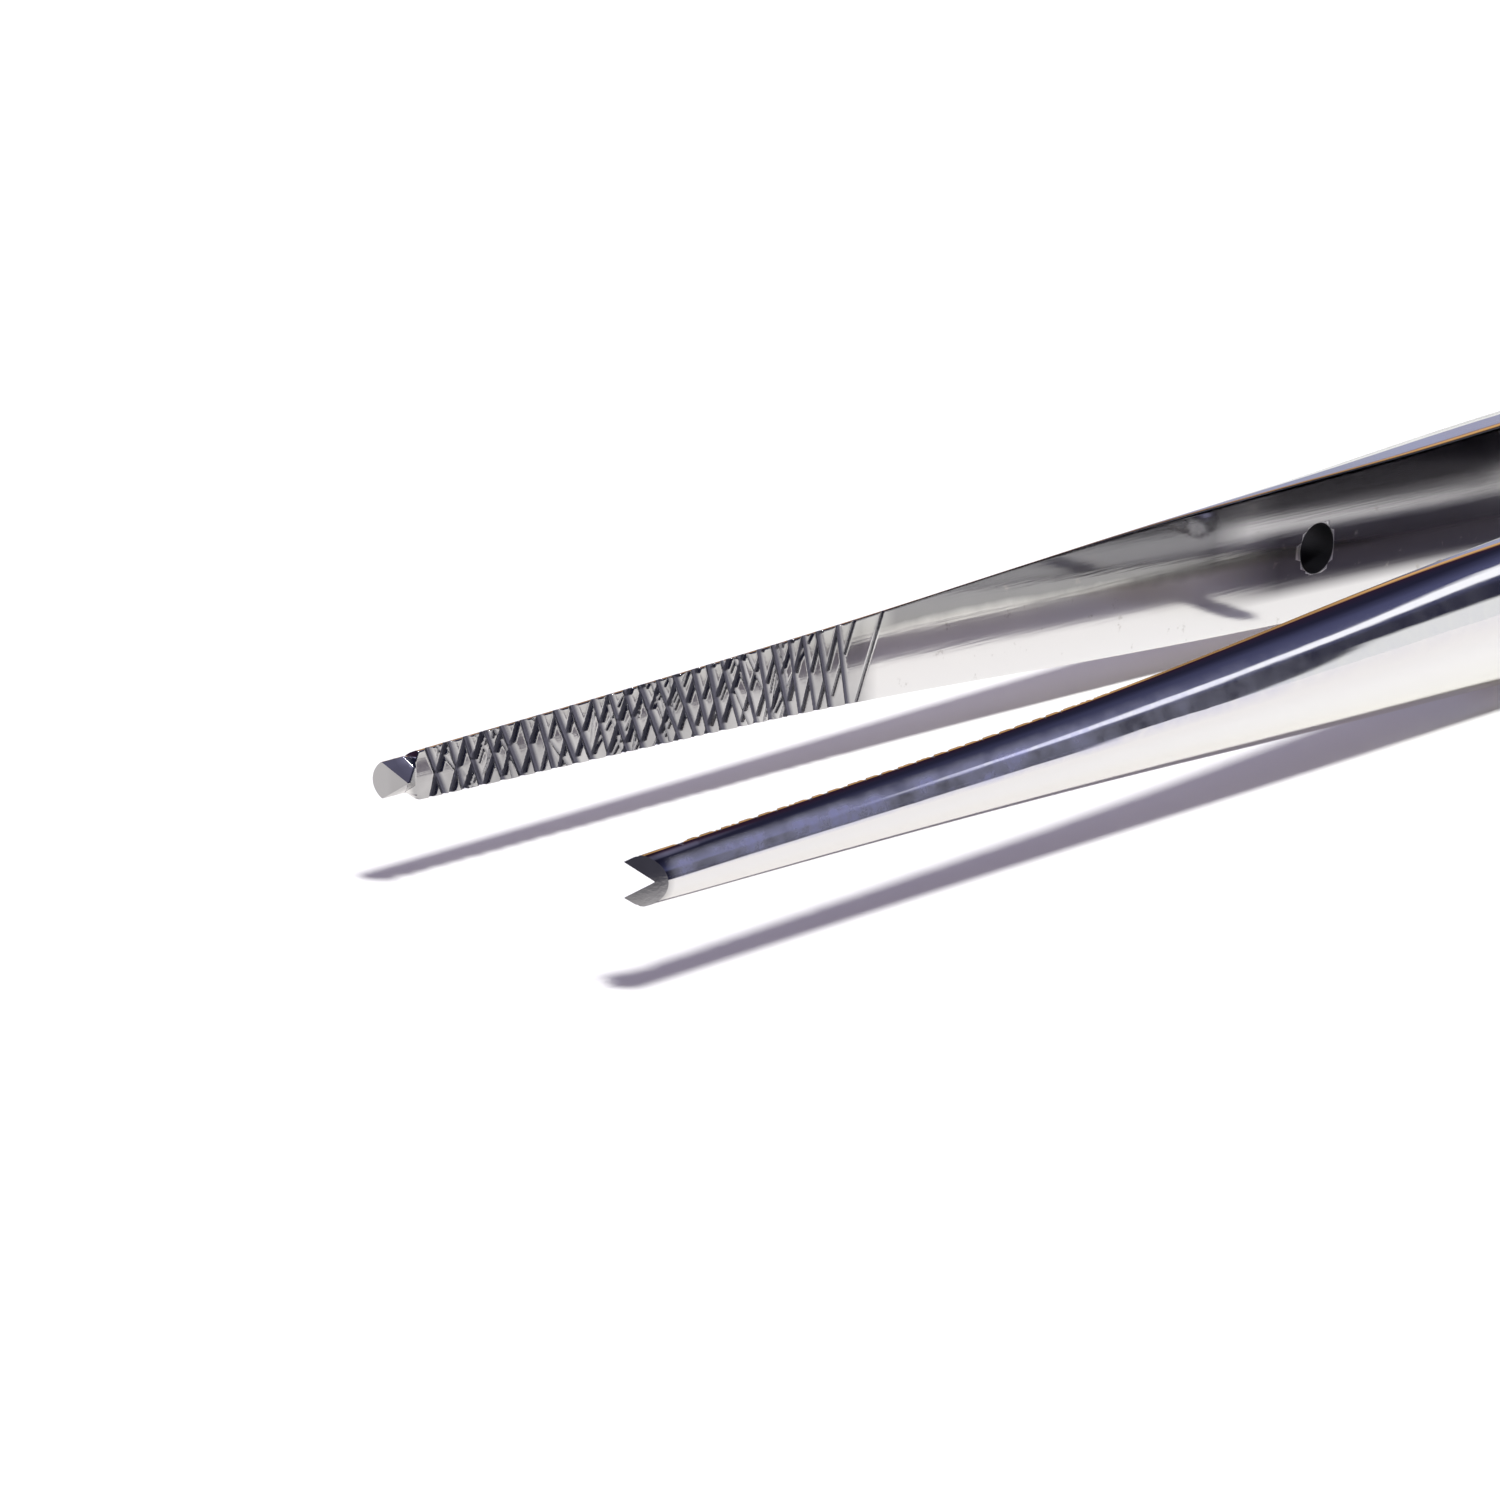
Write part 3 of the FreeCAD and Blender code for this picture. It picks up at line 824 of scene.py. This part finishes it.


# Painted shade inside the guide hole, which darkens the steel's colour there
def painted_hole_shade(tree, scene):
    lengths = scene.forceps_lengths
    _, x, _, z = own_place(tree)
    off_x = maths(tree, "SUBTRACT", x, lengths.guide_at - lengths.overall / 2.0)
    off_z = maths(tree, "SUBTRACT", z, scene.forceps_sections.grip_width / 2.0)
    square = maths(tree, "ADD", maths(tree, "POWER", off_x, 2.0), maths(tree, "POWER", off_z, 2.0))
    rim = scene.forceps_jaw.hole / 2.0
    return remap(tree, maths(tree, "SQRT", square), rim + 0.01 * MM, rim + 0.05 * MM, 1.0, 0.0)


# The colour of an arm before its serrations and its hole: polished steel with a painted sheen, painted
# reflections on the tip ends and the inner face, the worn jaw and stains
def worn_and_painted_colour(tree, scene, arm, sheen, smudge):
    colours = scene.forceps_colours
    wear = scene.forceps_wear
    # A painted dark reflection on the slanted end faces at the tips, in the same grey
    painted_end_reflection = remap(tree, arm.along, 0.7 * MM, 1.2 * MM, 0.75, 0.0)
    on_jaw = remap(tree, arm.along, *wear.jaw_fade, 1.0, 0.0)
    worn = product(tree, on_jaw, arm.on_jaw_face, remap(tree, smudge, 0.35, 0.65, 0.5, 0.95))
    stained = product(tree, inner_stains(tree, arm, wear), 0.6)
    layers = (
        (sheen, colours.sheen),
        (painted_end_reflection, colours.painted_reflection_grey),
        (worn, colours.worn),
        (painted_inner_reflection(tree, arm, wear), colours.painted_reflection_grey),
        (painted_reflection_bands(tree, arm, wear), colours.painted_dark_band),
        (stained, colours.stain),
    )
    base = tuple(colours.polished)
    for share, layer in layers:
        base = blend_colours(tree, share, base, tuple(layer))
    return base


# The polished steel of an arm, with painted shade in its rough serrations that deepens with their depth
# and, in the far arm, painted shade in the hole
def polished_steel(name, scene, seed, dullness, has_hole):
    colours = scene.forceps_colours
    smoothest = 0.02
    groove_roughness = 0.34
    hole_roughness = 0.5
    sheen_loss = 0.34
    made, tree = new_material(name)
    arm = ArmSpot(tree, seed)
    smudge = noise(tree, arm.spot, 260.0, 4.0, 0.6)
    # The serrations are darkened with painted shade, laid on more where they are cut deeper; their rough
    # metal is real
    rough_groove_and_shade = remap(tree, attribute(tree, "serration"), 0.01, 0.11)
    sheen = tip_sheen(tree, arm, scene.forceps_wear)
    base = worn_and_painted_colour(tree, scene, arm, sheen, smudge)
    base = blend_colours(tree, rough_groove_and_shade, base, tuple(colours.rough_groove_and_shade))
    roughness = maths(tree, "MULTIPLY_ADD", smudge, dullness, smoothest)
    roughness = maths(tree, "ADD", roughness, product(tree, rough_groove_and_shade, groove_roughness), clamp=True)
    if has_hole:
        # Painted shade inside the guide hole
        hole = painted_hole_shade(tree, scene)
        base = blend_colours(tree, hole, base, tuple(colours.hole))
        roughness = maths(tree, "MAXIMUM", roughness, product(tree, hole, hole_roughness))
    stretch = node(tree, "ShaderNodeMapping", {"Vector": arm.spot, "Scale": (300.0, 9000.0, 9000.0)})
    polish = noise(tree, stretch.outputs[0], 1.0, 2.0)
    bump = node(tree, "ShaderNodeBump", {"Strength": 0.05, "Distance": 0.02 * MM, "Height": polish})
    # Where the painted sheen lies the steel is less metallic, so that the lamp shows it as a bluish diffuse
    # sheen
    shader = node(tree, "ShaderNodeBsdfPrincipled", {
        "Base Color": base, "Metallic": maths(tree, "MULTIPLY_ADD", sheen, -sheen_loss, 1.0),
        "Roughness": roughness, "Normal": bump.outputs[0],
    })
    finish_material(tree, shader)
    return made


# The turned steel of the guide pin, with fine rings round it
def pin_steel(colours):
    made, tree = new_material("pin_steel")
    where = own_place(tree)[0]
    rings = node(tree, "ShaderNodeTexWave", {
        "Vector": where, "Scale": 900.0, "Distortion": 0.4,
    }, bands_direction="Y")
    roughness = remap(tree, noise(tree, where, 2500.0, 3.0), 0.3, 0.7, 0.18, 0.34)
    bump = node(tree, "ShaderNodeBump", {
        "Strength": 0.2, "Distance": 0.02 * MM, "Height": rings.outputs["Fac"],
    })
    shader = node(tree, "ShaderNodeBsdfPrincipled", {
        "Base Color": (*colours.pin, 1.0), "Metallic": 1.0,
        "Roughness": roughness, "Normal": bump.outputs[0],
    })
    finish_material(tree, shader)
    return made


class FORCEPS_OT_far_arm(bpy.types.Operator):
    """Build the far arm, with its serrations, its single tooth and the guide hole"""
    bl_idname = "forceps.far_arm"
    bl_label = "Far arm"

    def execute(self, context):
        scene = context.scene
        shape = ArmShape(scene, single_tooth=True, seed=3)
        arm = arm_object("far_arm", shape, 1.0, scene.forceps_sections.grip_width / 2.0)
        bore_hole(arm, scene)
        arm.data.materials.clear()
        steel = polished_steel("far_arm_steel", scene, seed=0.0, dullness=0.1, has_hole=True)
        arm.data.materials.append(steel)
        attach(arm, FIXED_BODY)
        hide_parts(FAR_NODE)
        return {"FINISHED"}


class FORCEPS_OT_near_arm(bpy.types.Operator):
    """Build the near arm, with its serrations, its two teeth and the notch between them"""
    bl_idname = "forceps.near_arm"
    bl_label = "Near arm"

    def execute(self, context):
        scene = context.scene
        middle = scene.forceps_sections.grip_width / 2.0
        shape = ArmShape(scene, single_tooth=False, seed=5)
        arm = arm_object("near_arm", shape, -1.0, middle)
        steel = polished_steel("near_arm_steel", scene, seed=0.31, dullness=0.05, has_hole=False)
        arm.data.materials.append(steel)
        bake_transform(arm)
        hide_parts(NEAR_NODE)
        return {"FINISHED"}


class FORCEPS_OT_guide_pin(bpy.types.Operator):
    """Give the guide pin its turned steel"""
    bl_idname = "forceps.guide_pin"
    bl_label = "Guide pin"

    def execute(self, context):
        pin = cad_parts[PIN_NODE]
        pin.data.materials.clear()
        pin.data.materials.append(pin_steel(context.scene.forceps_colours))
        return {"FINISHED"}


class FORCEPS_OT_stage(bpy.types.Operator):
    """Add the floor, the surroundings, the lamp and the camera"""
    bl_idname = "forceps.stage"
    bl_label = "Stage"

    def execute(self, context):
        look = context.scene.forceps_stage
        room = context.scene.forceps_room
        add_floor(look, room)
        add_surroundings(look, room)
        add_lamp(look)
        add_camera(look)
        context.scene.view_settings.view_transform = "Standard"
        return {"FINISHED"}


# Where the floor turns to dark ground in the steel: past a slanted line, and before the near tip
def dark_ground(tree, room):
    edge_soft = 2.0 * MM
    aside_soft = 2.5 * MM
    tip_share = 0.93
    _, x, y, _ = own_place(tree)
    reach = maths(tree, "ADD", maths(tree, "MULTIPLY_ADD", x, room.ground_slope, room.ground_edge), y)
    past = remap(tree, reach, -edge_soft, edge_soft, 1.0, 0.0)
    side = -room.ground_aside
    aside = remap(tree, maths(tree, "ADD", x, y), side - aside_soft, side + aside_soft, 1.0, 0.0)
    before_tip = product(
        tree, remap(tree, x, *room.tip_ground_x, tip_share, 0.0),
        remap(tree, y, *room.tip_ground_y, 1.0, 0.0)
    )
    return maths(tree, "MAXIMUM", product(tree, past, aside), before_tip)


def add_floor(look, room):
    half = 3.0
    grain_share = 0.03
    grain_colour = (0.8, 0.8, 0.8)
    mesh = bpy.data.meshes.new("floor")
    corners = [(x * half, y * half, 0.0) for x, y in ((-1, -1), (1, -1), (1, 1), (-1, 1))]
    mesh.from_pydata(corners, [], [[0, 1, 2, 3]])
    floor = bpy.data.objects.new("floor", mesh)
    bpy.context.scene.collection.objects.link(floor)
    made, tree = new_material("floor_white")
    grain = remap(tree, noise(tree, own_place(tree)[0], 400.0, 2.0), 0.3, 0.7, 0.0, grain_share)
    tint = blend_colours(tree, grain, tuple(look.floor), grain_colour)
    in_steel = blend_colours(tree, dark_ground(tree, room), tuple(look.floor_in_steel), tuple(look.dark))
    tint = blend_colours(tree, node(tree, "ShaderNodeLightPath").outputs["Is Glossy Ray"], tint, in_steel)
    finish_material(tree, node(tree, "ShaderNodeBsdfDiffuse", {"Color": tint}))
    floor.data.materials.append(made)


# A direction in which the steel looks out: its heading, its height, and how far it is above the
# low light
class Outlook:
    def __init__(self, tree, room):
        direction = node(tree, "ShaderNodeTexCoord").outputs["Generated"]
        parts = node(tree, "ShaderNodeSeparateXYZ", {"Vector": direction})
        self.height = maths(tree, "ARCSINE", parts.outputs["Z"])
        self.heading = maths(tree, "ARCTAN2", parts.outputs["Y"], parts.outputs["X"])
        low_top = remap(tree, self.heading, *room.low_turn, *room.low_top)
        self.above_low = maths(tree, "SUBTRACT", self.height, low_top)

    # How much a direction lies in a patch of the room
    def within(self, tree, heights, height_soft, headings, heading_soft):
        return product(
            tree, between(tree, self.height, heights, height_soft),
            between(tree, self.heading, headings, heading_soft)
        )


# The window line, which climbs with the heading, and the glow round it
def add_window(tree, look, room, out, colour_now):
    window_colour = (1.3, 1.3, 1.35)
    line_half = 0.022
    line_edge = 0.04
    first = remap(tree, out.heading, *room.window_turn, *room.window_height)
    rest = remap(tree, out.heading, room.window_turn[1], room.window_end, 0.0, room.window_rise)
    over_line = maths(tree, "SUBTRACT", out.height, maths(tree, "ADD", first, rest))
    fading = remap(tree, over_line, *room.glow_above, 1.0, 0.0)
    rising = remap(tree, over_line, *room.glow_below)
    glow = product(
        tree, maths(tree, "MINIMUM", fading, rising), remap(tree, out.above_low, 0.02, 0.12),
        between(tree, out.heading, room.glow_reach, math.radians(5.0))
    )
    colour_now = blend_colours(tree, glow, colour_now, tuple(look.glow))
    line = remap(tree, maths(tree, "ABSOLUTE", over_line), line_half, line_edge, 1.0, 0.0)
    line = product(tree, line, between(tree, out.heading, room.window_reach, math.radians(2.0)))
    return blend_colours(tree, line, colour_now, window_colour)


# The maroon dark, the hazy strip and the warm light beyond the heel
def add_heel_side(tree, look, room, out, colour_now):
    side_soft = math.radians(4.0)
    maroon = product(
        tree, remap(tree, out.heading, *room.maroon_turn), remap(tree, out.above_low, 0.02, 0.06)
    )
    haze = out.within(tree, room.haze_height, 0.015, room.haze_reach, side_soft)
    warm = out.within(tree, room.warm_height, 0.02, room.warm_reach, side_soft)
    for share, layer in ((maroon, look.maroon), (haze, look.haze), (warm, look.warm)):
        colour_now = blend_colours(tree, share, colour_now, tuple(layer))
    return colour_now


def add_surroundings(look, room):
    low_soft = 0.02
    world = bpy.data.worlds.new("surroundings")
    bpy.context.scene.world = world
    world.use_nodes = True
    tree = world.node_tree
    tree.nodes.clear()
    out = Outlook(tree, room)
    is_dark = remap(tree, out.above_low, -low_soft, low_soft)
    colour_now = blend_colours(tree, is_dark, tuple(look.low_light), tuple(look.dark))
    colour_now = add_window(tree, look, room, out, colour_now)
    colour_now = add_heel_side(tree, look, room, out, colour_now)
    overhead = remap(tree, out.height, *room.top_height)
    colour_now = blend_colours(tree, overhead, colour_now, tuple(look.top_light))
    back = node(tree, "ShaderNodeBackground", {"Color": colour_now, "Strength": 1.0})
    output = node(tree, "ShaderNodeOutputWorld")
    tree.links.new(back.outputs[0], output.inputs["Surface"])


def add_lamp(look):
    lamp = bpy.data.lights.new("key_lamp", "SUN")
    lamp.energy = look.lamp_strength
    lamp.angle = look.lamp_size
    lamp.color = (1.0, 1.0, 0.97)
    holder = bpy.data.objects.new("key_lamp", lamp)
    towards = Vector(look.lamp_towards).normalized()
    holder.rotation_mode = "QUATERNION"
    holder.rotation_quaternion = towards.to_track_quat("Z", "Y")
    holder.location = towards * 0.5
    bpy.context.scene.collection.objects.link(holder)


def add_camera(look):
    heading = look.camera_heading
    dip = look.camera_dip
    level_share = math.cos(dip)
    ahead = Vector((math.sin(heading) * level_share, math.cos(heading) * level_share, -math.sin(dip)))
    level = Vector((math.cos(heading), -math.sin(heading), 0.0))
    upright = level.cross(ahead)
    roll = look.camera_roll
    right = level * math.cos(roll) + upright * math.sin(roll)
    above = upright * math.cos(roll) - level * math.sin(roll)
    data = bpy.data.cameras.new("camera")
    data.sensor_width = 36.0
    data.lens = look.camera_lens
    data.clip_start = 0.005
    data.clip_end = 20.0
    camera = bpy.data.objects.new("camera", data)
    bpy.context.scene.collection.objects.link(camera)
    turned = Matrix((right, above, -ahead)).transposed().to_4x4()
    camera.matrix_world = Matrix.Translation(Vector(look.camera_place)) @ turned
    bpy.context.scene.camera = camera


class FORCEPS_PT_panel(bpy.types.Panel):
    """Lists what this file builds"""
    bl_label = "Forceps"
    bl_idname = "FORCEPS_PT_panel"
    bl_space_type = "VIEW_3D"
    bl_region_type = "UI"
    bl_category = "Forceps"

    def draw(self, context):
        for operator in OPERATORS:
            self.layout.operator(operator.bl_idname)


PROPERTY_GROUPS = {
    "forceps_lengths": ForcepsLengths,
    "forceps_sections": ForcepsSections,
    "forceps_jaw": JawSizes,
    "forceps_flutes": FluteSizes,
    "forceps_colours": SteelColours,
    "forceps_wear": SteelWearAndPaintedLight,
    "forceps_room": RoomLayout,
    "forceps_stage": StageLook,
}
OPERATORS = (
    FORCEPS_OT_far_arm,
    FORCEPS_OT_near_arm,
    FORCEPS_OT_guide_pin,
    FORCEPS_OT_stage,
)


def register():
    for name, group in PROPERTY_GROUPS.items():
        bpy.utils.register_class(group)
        setattr(bpy.types.Scene, name, PointerProperty(type=group))
    for operator in OPERATORS:
        bpy.utils.register_class(operator)
    bpy.utils.register_class(FORCEPS_PT_panel)


def unregister():
    bpy.utils.unregister_class(FORCEPS_PT_panel)
    for operator in reversed(OPERATORS):
        bpy.utils.unregister_class(operator)
    for name, group in reversed(PROPERTY_GROUPS.items()):
        delattr(bpy.types.Scene, name)
        bpy.utils.unregister_class(group)


def main():
    register()
    bpy.ops.forceps.far_arm()
    bpy.ops.forceps.near_arm()
    bpy.ops.forceps.guide_pin()
    bpy.ops.forceps.stage()


if __name__ == "__main__":
    main()
